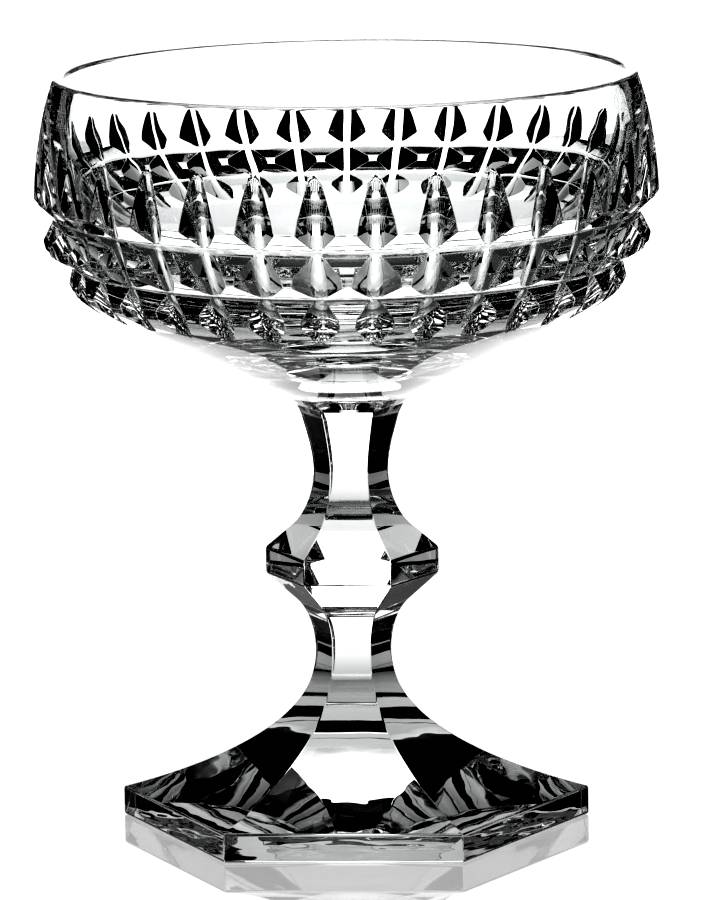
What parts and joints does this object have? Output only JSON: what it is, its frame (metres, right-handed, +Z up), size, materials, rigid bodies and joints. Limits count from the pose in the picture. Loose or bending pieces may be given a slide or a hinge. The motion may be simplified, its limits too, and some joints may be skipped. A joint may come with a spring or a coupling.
{
  "type": "sherbet glass",
  "caption": "Stemmed glass for sherbet or sparkling wine: a shallow stepped bowl with vertical mitre cuts, a six-sided knopped stem and a six-sided foot, in clear crystal.",
  "frame": {"origin": "on the glass's axis, in the plane of the foot's underside", "axes": "+Z up along the axis from the foot to the rim; -Y is the front, square to a flat side of the foot and of the stem; +X passes through a corner of the foot"},
  "size_m": [0.0985, 0.0985, 0.12],
  "materials": {
    "bowl_crystal": "clear polished crystal, pressed and mitre cut",
    "stem_crystal": "clear polished crystal, flat cut",
    "foot_crystal": "clear polished crystal, flat cut"
  },
  "bodies": {
    "root": {"bowl": "bowl_crystal", "stem": "stem_crystal", "foot": "foot_crystal"}
  },
  "joints": []
}
